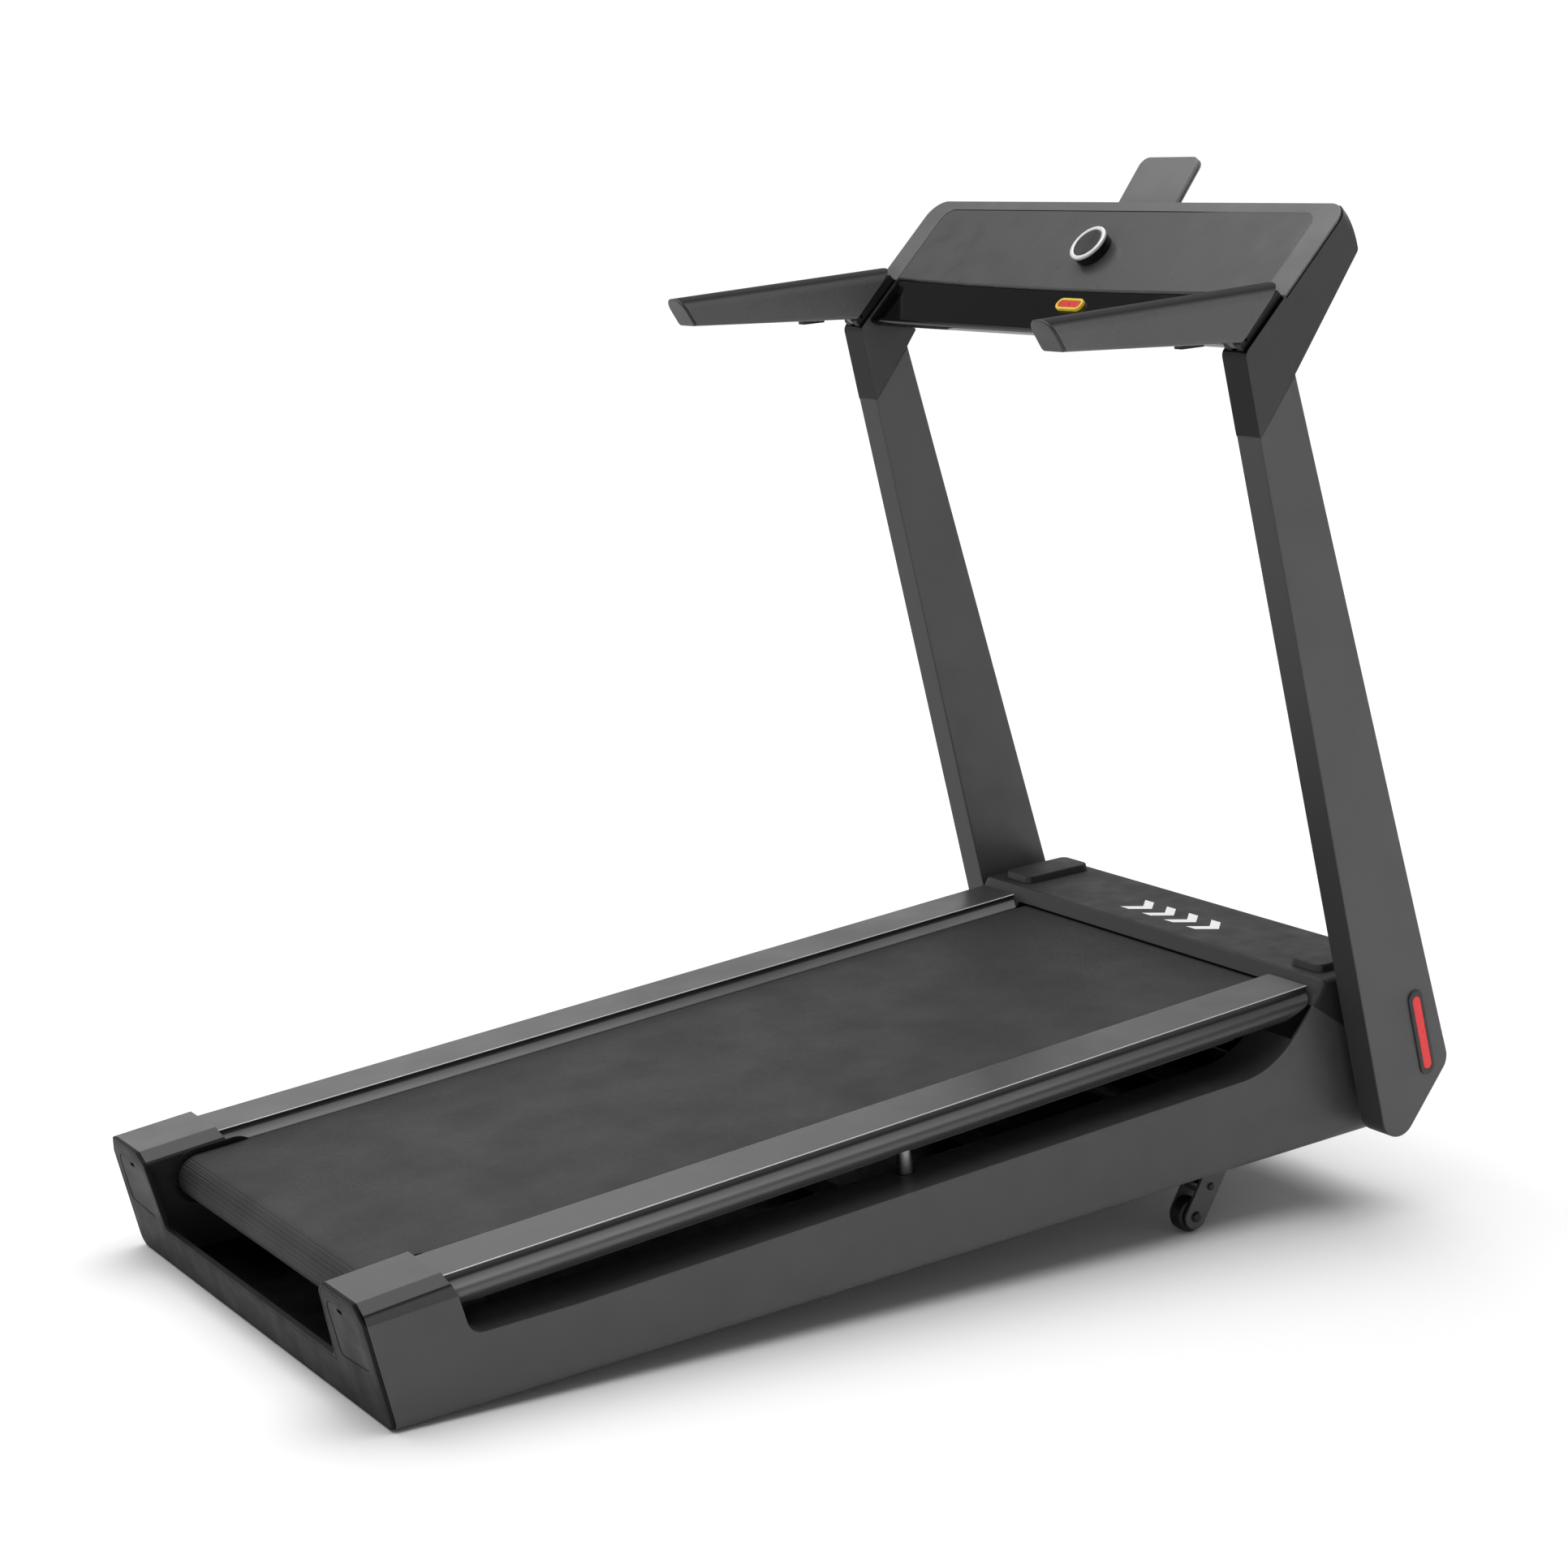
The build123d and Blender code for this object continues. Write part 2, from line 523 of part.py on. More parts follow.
# ---- belt drive ---------------------------------------------------------------------------------
PULLEY_X = (-249, -231)
plate_outline = [
    (1112, 3), (1112, -137), (1205, -137), (1205, 10), (1196, 16), (1160, 16), (1138, 3)
]
with BuildPart() as drive_frame:
    for plate_x in (-261, 228):
        add(prism(across(DECK, plate_x), plate_outline, 5).part)
    add(block(DECK, (-258, 1112, -137), (230, 1205, -133)).part)
    add(block(DECK, (-258, 1112, -14), (230, 1137, 3)).part)
    for arm_x in (-233, 228):
        add(block(DECK, (arm_x, 1046, -15), (arm_x + 5, 1113, 3)).part)
    for saddle_x in (-140, 10):
        add(block(DECK, (saddle_x, MOTOR_ALONG - 22, -134), (saddle_x + 20, MOTOR_ALONG + 22, -112)).part)
    add(rod(DECK, MOTOR_ALONG, MOTOR_UP, MOTOR_R, -200, 60).part, mode=Mode.SUBTRACT)
    add(rod(DECK, ROLLER_SPAN, 0, AXLE_R, -262, 234).part, mode=Mode.SUBTRACT)
save("drive_frame", drive_frame.part)

SHAFT_R = 6.0
with BuildPart() as drive_motor:
    add(rod(DECK, MOTOR_ALONG, MOTOR_UP, MOTOR_R, -150, 50).part)
    fillet(drive_motor.edges().filter_by(GeomType.CIRCLE), 3)
    add(rod(DECK, MOTOR_ALONG, MOTOR_UP, SHAFT_R + FIT, -151, -90).part, mode=Mode.SUBTRACT)
save("drive_motor", drive_motor.part)
with BuildPart() as motor_rotor:
    add(rod(DECK, MOTOR_ALONG, MOTOR_UP, SHAFT_R, -252, -92).part)
    add(rod(DECK, MOTOR_ALONG, MOTOR_UP, 32, -200, -158).part)
    add(rod(DECK, MOTOR_ALONG, MOTOR_UP, MOTOR_PULLEY_R, *PULLEY_X).part)
save("motor_rotor", motor_rotor.part)
roller_pulley = tube(DECK, ROLLER_SPAN, 0, ROLLER_PULLEY_R, AXLE_R + FIT, *PULLEY_X)
save("roller_pulley", roller_pulley.part)


def belt_loop(gap):
    """The outline that runs round both pulleys at a gap."""
    with BuildSketch(across(DECK, PULLEY_X[0] + 2)) as loop:
        with Locations((ROLLER_SPAN, 0)):
            Circle(ROLLER_PULLEY_R + gap)
        with Locations((MOTOR_ALONG, MOTOR_UP)):
            Circle(MOTOR_PULLEY_R + gap)
        make_hull()
    return loop.sketch


with BuildPart() as drive_belt:
    extrude(belt_loop(2.9), amount=14)
    extrude(belt_loop(0.4), amount=14, mode=Mode.SUBTRACT)
save("drive_belt", drive_belt.part)

# ---- mast ---------------------------------------------------------------------------------------
mast_pivot = rod(MACHINE, MAST_Y, MAST_Z, 30, BASE_HALF, MAST_IN - 0.4)
with BuildPart() as mast_pin:
    add(mast_pivot.part)
    add(rod(MACHINE, MAST_Y, MAST_Z, MAST_PIN_R, MAST_IN - 1, MAST_OUT - 10).part)
save_group("mast_pivots", mast_pin.part, mirror(mast_pin.part, about=Plane.YZ))

seam_low = (1061.4, 823.9)
seam_high = (1112.6, 886.4)
upright_outline = [seam_low, seam_high, (1318.4, 80.7), (1226.2, -24.2)]
with BuildPart() as upright:
    add(prism(across(MACHINE, MAST_IN), upright_outline, MAST_OUT - MAST_IN, [(2, 22), (3, 25)]).part)
    upright_faces = upright.faces().filter_by(lambda f: abs(f.normal_at().X) > 0.99)
    fillet(upright_faces.edges().filter_by(lambda e: e.length > 60), 1.6)
    with BuildSketch(across(MACHINE, MAST_IN + 3.5)):
        with BuildLine():
            Polyline(seam_low, seam_high, (1303.3, 140), (1194.3, 140), close=True)
        make_face()
        offset(amount=-3.5, kind=Kind.INTERSECTION)
    extrude(amount=MAST_OUT - MAST_IN - 7, mode=Mode.SUBTRACT)
    add(
        rod(MACHINE, MAST_Y, MAST_Z, MAST_PIN_R + FIT, MAST_IN - 1, MAST_OUT - 9).part,
        mode=Mode.SUBTRACT,
    )
save_pair("upright", upright.part)

# reflector in a raised surround, in line with the upright's front edge
REFLECTOR = tilted(MACHINE, 1275.9, 122.3, degrees(atan2(18.2, 89.2)))
with BuildPart() as reflector_bezel:
    with BuildSketch(across(REFLECTOR, MAST_OUT)):
        SlotOverall(106, 22, rotation=90)
    extrude(amount=2.4)
    fillet(reflector_bezel.faces().sort_by(Axis.X)[-1].edges(), 1.4)
    with BuildSketch(across(REFLECTOR, MAST_OUT + 0.8)):
        SlotOverall(91.6, 12.2, rotation=90)
    extrude(amount=3, mode=Mode.SUBTRACT)
save_group("reflector_bezels", reflector_bezel.part, mirror(reflector_bezel.part, about=Plane.YZ))
with BuildPart() as reflector:
    with BuildSketch(across(REFLECTOR, MAST_OUT + 0.8)):
        SlotOverall(91, 11.6, rotation=90)
    extrude(amount=1.4)
save_group("reflectors", reflector.part, mirror(reflector.part, about=Plane.YZ))

# ---- console ------------------------------------------------------------------------------------
# In the console's own side view, x runs up along the panel and y stands off it.
RIM_UP = 124.0
RIM_THICK = 3.0
neck_outline = [(-133.9, -76.8), (-84.2, 0), (RIM_UP, 0), (96.3, -43.2), (-53.7, -67)]
with BuildPart() as neck:
    add(
        prism(
            across(CONSOLE, MAST_IN), neck_outline, MAST_OUT - MAST_IN,
            [(1, 10), (2, 1.5), (3, 6), (4, 2)],
        ).part
    )
    with BuildSketch(CONSOLE.offset(-160)) as rim_corners:
        with Locations((0, RIM_UP - 150)):
            Rectangle(2 * MAST_OUT, 300)
        fillet(rim_corners.vertices().group_by(Axis.Y)[-1], 26)
    extrude(amount=180, mode=Mode.INTERSECT)
    rim_seat = block(CONSOLE, (MAST_IN - 1, -6, -RIM_THICK), (MAST_OUT + 1, RIM_UP + 5, 5))
    add(rim_seat.part, mode=Mode.SUBTRACT)
save_group("necks", neck.part, mirror(neck.part, about=Plane.YZ))

with BuildPart() as console_rim:
    with BuildSketch(CONSOLE.offset(-RIM_THICK + 0.4)) as rim_sketch:
        with Locations((0, (RIM_UP - 6) / 2)):
            Rectangle(2 * MAST_OUT - 3, RIM_UP + 4)
        fillet(rim_sketch.vertices().group_by(Axis.Y)[-1], 26)
        with BuildSketch(mode=Mode.SUBTRACT) as opening:
            with Locations((0, (PANEL_LONG - 20) / 2)):
                Rectangle(2 * MAST_IN, PANEL_LONG + 20)
            fillet(opening.vertices().group_by(Axis.Y)[-1], 18)
    extrude(amount=RIM_THICK - 0.4)
    fillet(console_rim.faces().sort_by(OUTWARD)[-1].edges().filter_by(lambda e: e.length > 20), 0.8)
save("console_rim", console_rim.part)

with BuildPart() as console_panel:
    with BuildSketch(CONSOLE.offset(-RIM_THICK)) as panel_face:
        with BuildLine():
            Polyline(
                (-MAST_IN + 0.5, -3), (-MAST_IN + 0.5, PANEL_LONG - 0.5),
                (MAST_IN - 0.5, PANEL_LONG - 0.5), (MAST_IN - 0.5, -3),
            )
            ThreePointArc((MAST_IN - 0.5, -3), (0, -9), (-MAST_IN + 0.5, -3))
        make_face()
        fillet(panel_face.vertices().group_by(Axis.Y)[-1], 17.5)
        with Locations((KNOB_X, KNOB_UP)):
            Circle(9, mode=Mode.SUBTRACT)
    extrude(amount=RIM_THICK)
    front_lip = console_panel.faces().sort_by(OUTWARD)[-1].edges().sort_by(Axis.Z)[0]
    fillet(front_lip, 2)
save("console_panel", console_panel.part)

TABLET = tilted(MACHINE, 1211, 1056.8, 51)
TABLET_X = 19.5
TABLET_HALF = 51.5
housing_outline = [
    (-69, -RIM_THICK), (RIM_UP - 1, -RIM_THICK), (96.3, -43.2), (-40, -52), (-66, -15)
]
KEY_X = 31.0
KEY_UP = -30.0
with BuildPart() as console_housing:
    add(prism(across(CONSOLE, -MAST_IN), housing_outline, 2 * MAST_IN, [(0, 4), (2, 6), (3, 10)]).part)
    add(
        block(
            TABLET, (TABLET_X - TABLET_HALF - 0.6, -96, -8.6), (TABLET_X + TABLET_HALF + 0.6, 60, 0.6)
        ).part,
        mode=Mode.SUBTRACT,
    )
    with BuildSketch(CONSOLE.offset(-12)):
        with Locations((KNOB_X, KNOB_UP)):
            Circle(6 + FIT)
        with Locations((KEY_X, KEY_UP)):
            SlotOverall(38, 10)
    extrude(amount=20, mode=Mode.SUBTRACT)
save("console_housing", console_housing.part)

# tablet rest: a thin rounded plate that slides down into the housing
with BuildPart() as tablet_plate:
    with BuildSketch(TABLET.offset(-8)) as tablet_sketch:
        with Locations((TABLET_X, 10)):
            Rectangle(2 * TABLET_HALF, 102)
        fillet(tablet_sketch.vertices().group_by(Axis.Y)[-1], 13)
    extrude(amount=8)
    skins = tablet_plate.faces().filter_by(lambda f: abs(f.normal_at().dot(TABLET.z_dir)) > 0.99)
    fillet(skins.edges(), 1)
    # groove round the edge, between the front and the back skin
    with BuildSketch(TABLET.offset(-5.8)) as edge_groove:
        with Locations((TABLET_X, 10)):
            Rectangle(2 * TABLET_HALF + 2, 104)
        with BuildSketch(TABLET.offset(-5.8), mode=Mode.SUBTRACT) as core:
            with Locations((TABLET_X, 10)):
                Rectangle(2 * TABLET_HALF - 3, 99)
            fillet(core.vertices().group_by(Axis.Y)[-1], 11.5)
    extrude(amount=3, mode=Mode.SUBTRACT)
save("tablet_plate", tablet_plate.part)


# ---- knob and key -------------------------------------------------------------------------------
def knob_disc(low, high, radius, bore=0):
    with BuildPart() as disc:
        with BuildSketch(CONSOLE.offset(low)):
            with Locations((KNOB_X, KNOB_UP)):
                Circle(radius)
                if bore:
                    Circle(bore, mode=Mode.SUBTRACT)
        extrude(amount=high - low)
    return disc


with BuildPart() as knob_body:
    add(knob_disc(0.4, 11.5, 23.6).part)
    add(knob_disc(-10, 1, 6).part)
    with BuildSketch(CONSOLE.offset(0.4)):
        with Locations((KNOB_X, KNOB_UP)):
            with PolarLocations(23.8, 48):
                Circle(0.55)
    extrude(amount=8, mode=Mode.SUBTRACT)
    add(knob_disc(6, 12, 19.6).part, mode=Mode.SUBTRACT)
save("knob_body", knob_body.part)
knob_ring = knob_disc(11.5, 15, 24.5, 19.6)
with BuildPart() as knob_bezel:
    add(knob_ring.part)
    fillet(knob_bezel.faces().sort_by(OUTWARD)[-1].edges(), 1.2)
save("knob_ring", knob_bezel.part)
with BuildPart() as knob_button:
    add(knob_disc(8.6, 14.6, 19.3).part)
    fillet(knob_button.faces().sort_by(OUTWARD)[-1].edges(), 0.8)
save("knob_button", knob_button.part)

with BuildPart() as safety_key:
    with BuildSketch(CONSOLE.offset(-RIM_THICK + 0.2)):
        with Locations((KEY_X, KEY_UP)):
            SlotOverall(46, 16)
    extrude(amount=4)
    fillet(safety_key.faces().sort_by(OUTWARD)[-1].edges(), 1.4)
    with BuildSketch(CONSOLE.offset(-11)):
        with Locations((KEY_X, KEY_UP)):
            SlotOverall(37, 9)
    extrude(amount=10)
save("safety_key", safety_key.part)

# ---- handles ------------------------------------------------------------------------------------
HANDLE_IN = 338.5
HANDLE_OUT = 374.5
HINGE_Y = -76.0          # handle hinge in the console's side view
HINGE_Z = 4.7
EAR_R = 4.6
handle_outline = [(789, 973), (1097, 982.5), (1041, 925.5), (808.5, 939.5)]
cap_region = [(770, 990), (783, 990), (824, 920), (770, 920)]
with BuildPart() as grip:
    add(prism(across(MACHINE, HANDLE_IN), handle_outline, HANDLE_OUT - HANDLE_IN).part)
    long_edges = grip.edges().filter_by(lambda e: 200 < e.length).sort_by(Axis.Z)
    fillet(long_edges[-2:], 15)
    long_edges = grip.edges().filter_by(lambda e: 200 < e.length).sort_by(Axis.Z)
    fillet(long_edges[:2], 4)
with BuildPart() as handle_cap:
    add(grip.part)
    add(prism(across(MACHINE, 330), cap_region, 60).part, mode=Mode.INTERSECT)
    fillet(handle_cap.faces().sort_by(Axis.Y)[0].edges(), 1)
save_pair("handle_cap", handle_cap.part)
HINGE = Plane(CONSOLE.from_local_coords((0, HINGE_Y, HINGE_Z)), CONSOLE.x_dir, CONSOLE.z_dir)
lug = slotted_plate(HINGE, 12, 4.4, 352, 360)
with BuildPart() as handle:
    add(grip.part)
    add(prism(across(MACHINE, 330), cap_region, 60).part, mode=Mode.SUBTRACT)
    add(lug.part)
    add(rod(CONSOLE, HINGE_Y, HINGE_Z, 2.4 + FIT, 340, 372).part, mode=Mode.SUBTRACT)
    add(block(MACHINE, (349.7, 969.7, 915), (362.3, 1000.3, 936.5)).part, mode=Mode.SUBTRACT)
save_pair("handle", handle.part)
with BuildPart() as grip_button:
    add(block(MACHINE, (350, 970, 925.2), (362, 1000, 934.5)).part)
    fillet(grip_button.faces().sort_by(Axis.Z)[0].edges(), 0.8)
save_pair("grip_button", grip_button.part)

with BuildPart() as handle_hinge:
    for ear_x in (343, 360.4):
        ear_foot = HINGE.offset(0.2 - HINGE_Z)
        add(slotted_plate(ear_foot, HINGE_Z - 0.2, EAR_R, ear_x, ear_x + 8.6).part)
    add(block(CONSOLE, (343, -68, 0), (369, -5, 8.6)).part)
    add(block(CONSOLE, (343, -76, 0), (351.6, -66, 4)).part)
    add(block(CONSOLE, (360.4, -76, 0), (369, -66, 4)).part)
    add(rod(CONSOLE, HINGE_Y, HINGE_Z, 2.4, 343, 369).part)
    add(block(CONSOLE, (340, -100, -20), (372, -5, 0)).part, mode=Mode.SUBTRACT)
save_group("handle_hinges", handle_hinge.part, mirror(handle_hinge.part, about=Plane.YZ))
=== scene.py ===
import json
from math import cos, pi, radians, sin
import bmesh
import bpy
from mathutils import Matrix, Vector


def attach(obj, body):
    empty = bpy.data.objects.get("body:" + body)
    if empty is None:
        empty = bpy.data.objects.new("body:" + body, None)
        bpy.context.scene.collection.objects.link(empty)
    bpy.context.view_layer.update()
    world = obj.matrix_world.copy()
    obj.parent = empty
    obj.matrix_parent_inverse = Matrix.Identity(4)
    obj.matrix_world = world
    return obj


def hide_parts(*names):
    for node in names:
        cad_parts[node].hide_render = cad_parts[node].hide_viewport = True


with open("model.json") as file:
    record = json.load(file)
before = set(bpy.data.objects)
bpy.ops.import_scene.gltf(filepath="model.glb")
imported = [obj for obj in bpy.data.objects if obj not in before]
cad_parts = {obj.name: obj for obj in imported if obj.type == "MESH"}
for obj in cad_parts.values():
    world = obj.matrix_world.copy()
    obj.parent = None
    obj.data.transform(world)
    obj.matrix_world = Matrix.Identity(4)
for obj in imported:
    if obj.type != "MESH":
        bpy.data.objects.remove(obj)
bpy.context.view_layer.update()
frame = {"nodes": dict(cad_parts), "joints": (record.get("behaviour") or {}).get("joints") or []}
nodes = frame["nodes"]
joint = {j["name"]: j for j in frame["joints"]}

# directions and one fixed point; all but sideways come from the frame's joints
sideways = Vector((1, 0, 0))
deck_up = Vector(joint["deck_cushion"]["axis"])
deck_forward = Vector((0, deck_up.z, -deck_up.y))
panel_out = Vector(joint["knob_press"]["axis"])
panel_up = Vector((0, panel_out.z, -panel_out.y))
machine_up = Vector(joint["grip_button_right_press"]["axis"])
machine_forward = Vector(joint["lift_rod_slide"]["axis"])
axle_rear = Vector(joint["rear_roller_spin"]["pos_m"])


# ---- materials ----------------------------------------------------------------------------------
class Shader:
    """A small helper to wire nodes of one material."""

    def __init__(self, name):
        self.material = bpy.data.materials.new(name)
        self.material.use_nodes = True
        self.tree = self.material.node_tree
        self.tree.nodes.clear()
        where = self.node("ShaderNodeTexCoord")
        self.place = where.outputs["Object"]
        self.facing = where.outputs["Normal"]

    def node(self, kind, **inputs):
        made = self.tree.nodes.new(kind)
        for name, value in inputs.items():
            self.put(made, name.replace("_", " "), value)
        return made

    def put(self, made, name, value):
        """Links or sets one input, given by its name or by its number."""
        socket = made.inputs[int(name)] if name.isdigit() else made.inputs[name]
        if isinstance(value, bpy.types.NodeSocket):
            self.tree.links.new(value, socket)
        else:
            socket.default_value = value

    def maths(self, operation, a, b=0.0, clamp=False):
        made = self.node("ShaderNodeMath")
        made.operation = operation
        made.use_clamp = clamp
        self.put(made, "0", a)
        self.put(made, "1", b)
        return made.outputs[0]

    def times(self, a, b):
        return self.maths("MULTIPLY", a, b)

    def wave(self, distance, pitch):
        """A sine along a distance, one turn for each pitch."""
        return self.maths("SINE", self.times(distance, 2 * pi / pitch))

    def ramp(self, value, low, high, to_low=0.0, to_high=1.0):
        made = self.node("ShaderNodeMapRange")
        limits = {"Value": value, "From Min": low, "From Max": high, "To Min": to_low, "To Max": to_high}
        for name, limit in limits.items():
            self.put(made, name, limit)
        return made.outputs["Result"]

    def noise(self, scale, detail=3.0, stretch=(1, 1, 1)):
        at = self.place
        if stretch != (1, 1, 1):
            mapping = self.node("ShaderNodeMapping", Vector=at)
            mapping.inputs["Scale"].default_value = stretch
            at = mapping.outputs[0]
        made = self.node("ShaderNodeTexNoise", Vector=at, Scale=scale, Detail=detail)
        return made.outputs[0]

    def vector_maths(self, operation, a, b):
        made = self.node("ShaderNodeVectorMath")
        made.operation = operation
        self.put(made, "0", a)
        self.put(made, "1", b)
        return made

    def dot(self, vector, direction):
        return self.vector_maths("DOT_PRODUCT", vector, direction).outputs["Value"]

    def along(self, direction, point):
        """Distance from a point along a direction, for every shaded spot."""
        return self.dot(self.vector_maths("SUBTRACT", self.place, point).outputs[0], direction)

    def mix(self, amount, a, b):
        made = self.node("ShaderNodeMix")
        made.data_type = "RGBA"
        self.put(made, "0", amount)
        self.put(made, "6", a)
        self.put(made, "7", b)
        return made.outputs[2]


def rgb(level, tint=(1, 1, 1)):
    """A grey from its display value 0..255, as linear colour."""
    c = (level / 255 / 12.92) if level < 11 else ((level / 255 + 0.055) / 1.055) ** 2.4
    return (c * tint[0], c * tint[1], c * tint[2], 1)


def scaled(colour, factor, more=0.0):
    """A lighter or darker version of a linear colour."""
    return tuple(min(1, c * factor + more) for c in colour[:3]) + (1,)


def finish_shader(s, colour, rough, metal=0.0, normal=None, **uniform):
    """Ends a material: linked colour, roughness and normal; the rest set on the shader itself."""
    shader = s.node("ShaderNodeBsdfPrincipled", Base_Color=colour, Roughness=rough, Metallic=metal)
    for name, value in uniform.items():
        shader.inputs[name.replace("_", " ")].default_value = value
    if normal is not None:
        s.put(shader, "Normal", normal)
    out = s.node("ShaderNodeOutputMaterial")
    s.tree.links.new(shader.outputs[0], out.inputs["Surface"])
    return s.material


def edge_mask(s, radius):
    """1 near convex and concave edges, with the softened normal that goes with it."""
    bevel = s.node("ShaderNodeBevel", Radius=radius)
    bevel.samples = 4
    geometry = s.node("ShaderNodeNewGeometry")
    flatness = s.dot(bevel.outputs[0], geometry.outputs["Normal"])
    return s.ramp(flatness, 0.995, 0.86), bevel.outputs[0]


def coated(name, level, rough, grain=2600, depth=0.00003, vary=0.06, wear=0.25, edge=0.0012,
           tint=(1, 1, 1), metal=0.0, rough_vary=0.08, smudge=9.0,
           zone=None, lines=None, fade=None, **uniform):
    """Paint or moulded plastic: fine grain, soft mottling, uneven gloss and rubbed edges.

    zone is a masked part with its own level and roughness, fade a part that drifts to another
    level, and lines a part drawn over both in a third level."""
    s = Shader(name)
    base = rgb(level, tint)
    light, dark = scaled(base, 1 + 2 * vary), scaled(base, 1 - 2 * vary)
    cloud = s.noise(smudge, 4.0)
    fine = s.noise(grain, 2.0)
    colour = s.mix(s.ramp(cloud, 0.3, 0.7), dark, light)
    colour = s.mix(s.ramp(fine, 0.35, 0.65, 0.0, 0.35), colour, light)
    if fade:
        part, fade_level = fade
        colour = s.mix(part(s), colour, rgb(fade_level))
    mask, soft = edge_mask(s, edge)
    patches = s.ramp(s.noise(60, 5.0), 0.35, 0.75, 0.15 * wear, wear)
    scuffed = s.maths("MULTIPLY", mask, patches, clamp=True)
    rubbed = scaled(base, 1.9, 0.012)
    colour = s.mix(scuffed, colour, rubbed)
    gloss = s.ramp(s.noise(smudge * 3.1, 5.0), 0.3, 0.7, rough - rough_vary, rough + rough_vary)
    gloss = s.maths("SUBTRACT", gloss, s.times(scuffed, 0.12))
    if zone:
        part, zone_level, zone_rough = zone
        inside = part(s)
        zone_colour = s.mix(s.times(scuffed, 0.3), rgb(zone_level), rubbed)
        colour = s.mix(inside, colour, zone_colour)
        gloss = s.ramp(inside, 0.0, 1.0, gloss, zone_rough)
    if lines:
        part, line_level = lines
        colour = s.mix(part(s), colour, rgb(line_level))
    bump = s.node("ShaderNodeBump", Strength=0.6, Distance=depth, Height=fine, Normal=soft)
    return finish_shader(s, colour, gloss, metal, bump.outputs[0], **uniform)


def woven(name, level, pitch_across, pitch_along):
    """The running belt: fine cross ribs with a diagonal weave, darker between the threads, partly the
    weave's own pattern and partly painted shade.
    """
    turn_radius = 0.0245    # of the belt round the rear roller
    lowest = -0.02          # the height is held there, so that the angle doesn't jump underneath
    groove_pitch = 0.0048
    s = Shader(name)
    x = s.dot(s.place, sideways)
    ahead = s.along(deck_forward, axle_rear)
    above = s.along(deck_up, axle_rear)
    # the distance run along the belt: straight over the deck, then round the rear roller
    angle = s.maths("ARCTAN2", ahead, s.maths("MAXIMUM", above, lowest))
    turn = s.times(angle, turn_radius)
    run = s.maths("ADD", s.maths("MAXIMUM", ahead, 0.0), s.maths("MINIMUM", turn, 0.0))
    rib = s.wave(run, pitch_along)
    thread = s.wave(x, pitch_across)
    across_turns, along_turns = s.times(x, 2 * pi / pitch_across), s.times(run, 2 * pi / pitch_along)
    twill = s.maths("SINE", s.maths("ADD", across_turns, along_turns))
    weave = s.maths("ADD", s.times(thread, 0.2), s.times(twill, 0.3))
    height = s.maths("ADD", s.times(rib, 0.5), weave)
    base = rgb(level)
    # partly the weave's pattern, partly painted shade in the low parts between the threads and painted
    # light on their high parts
    colour = s.mix(s.ramp(height, -0.8, 0.8), scaled(base, 0.62), scaled(base, 1.22))
    worn = s.ramp(s.noise(3.0, 5.0, (1, 0.25, 1)), 0.35, 0.75, 0.0, 0.14)
    colour = s.mix(worn, colour, rgb(level + 9))
    # painted shade: the belt darkens towards the front of the deck
    colour = s.mix(s.times(front_end(s), 0.85), colour, rgb(level * 0.45))
    # painted shade: dark lines across the belt where it turns round the rear roller, drawn as the shade
    # of wide grooves that have no bump of their own
    groove_shade = s.ramp(s.wave(run, groove_pitch), 0.45, 0.95)
    groove_shade = s.times(groove_shade, s.ramp(run, -0.003, -0.008))
    colour = s.mix(groove_shade, colour, rgb(level * 0.15))
    bump = s.node("ShaderNodeBump", Strength=0.8, Distance=0.00035, Height=height)
    gloss = s.ramp(s.noise(14, 4.0), 0.3, 0.7, 0.52, 0.66)
    return finish_shader(s, colour, gloss, 0.0, bump.outputs[0], Specular_IOR_Level=0.35)


def brushed(name, level, rough, stretch, metal=1.0, tint=(1, 1, 1), **uniform):
    """Metal with fine directional scratches."""
    s = Shader(name)
    base = rgb(level, tint)
    scratches = s.noise(90, 3.0, stretch)
    colour = s.mix(s.ramp(scratches, 0.3, 0.7), scaled(base, 0.86), scaled(base, 1.1))
    soft = edge_mask(s, 0.001)[1]
    bump = s.node("ShaderNodeBump", Strength=0.25, Distance=0.00002, Height=scratches, Normal=soft)
    gloss = s.ramp(scratches, 0.3, 0.7, rough - 0.05, rough + 0.08)
    return finish_shader(s, colour, gloss, metal, bump.outputs[0], **uniform)


# Parts of a surface, each a mask from 0 to 1.
def flanks(s):
    """Every face that doesn't look left or right."""
    return s.ramp(s.maths("ABSOLUTE", s.dot(s.facing, sideways)), 0.55, 0.8, 1.0, 0.0)


def not_top(s):
    """Every face that doesn't look straight up."""
    return s.ramp(s.dot(s.facing, (0, 0, 1)), 0.965, 0.985, 1.0, 0.0)


def upper(s):
    """Faces that look more or less up; the mask of the handles' painted shade."""
    return s.ramp(s.dot(s.facing, (0, 0, 1)), 0.45, 0.7)


def rearward(s):
    """Faces that look back at the runner; the mask of the hood's painted light."""
    return s.ramp(s.dot(s.facing, (0, -1, 0)), 0.45, 0.7)


def front_end(s):
    """0 at the rear of the deck, 1 at the front; the mask of the painted shade that darkens the belt and
    the rails towards the front.
    """
    return s.ramp(s.along(deck_forward, axle_rear), 0.2, 1.1)


# heights on the side rail, above the rear roller's axle, that bound its painted shade band, its painted
# shaded foot and its painted highlight lines
shade_band_fade = (0.0235, 0.0305)
shade_band_top = (0.0355, 0.0362)
shade_foot_fade = (0.0185, 0.008)
highlight_line_start = (0.0352, 0.0356)


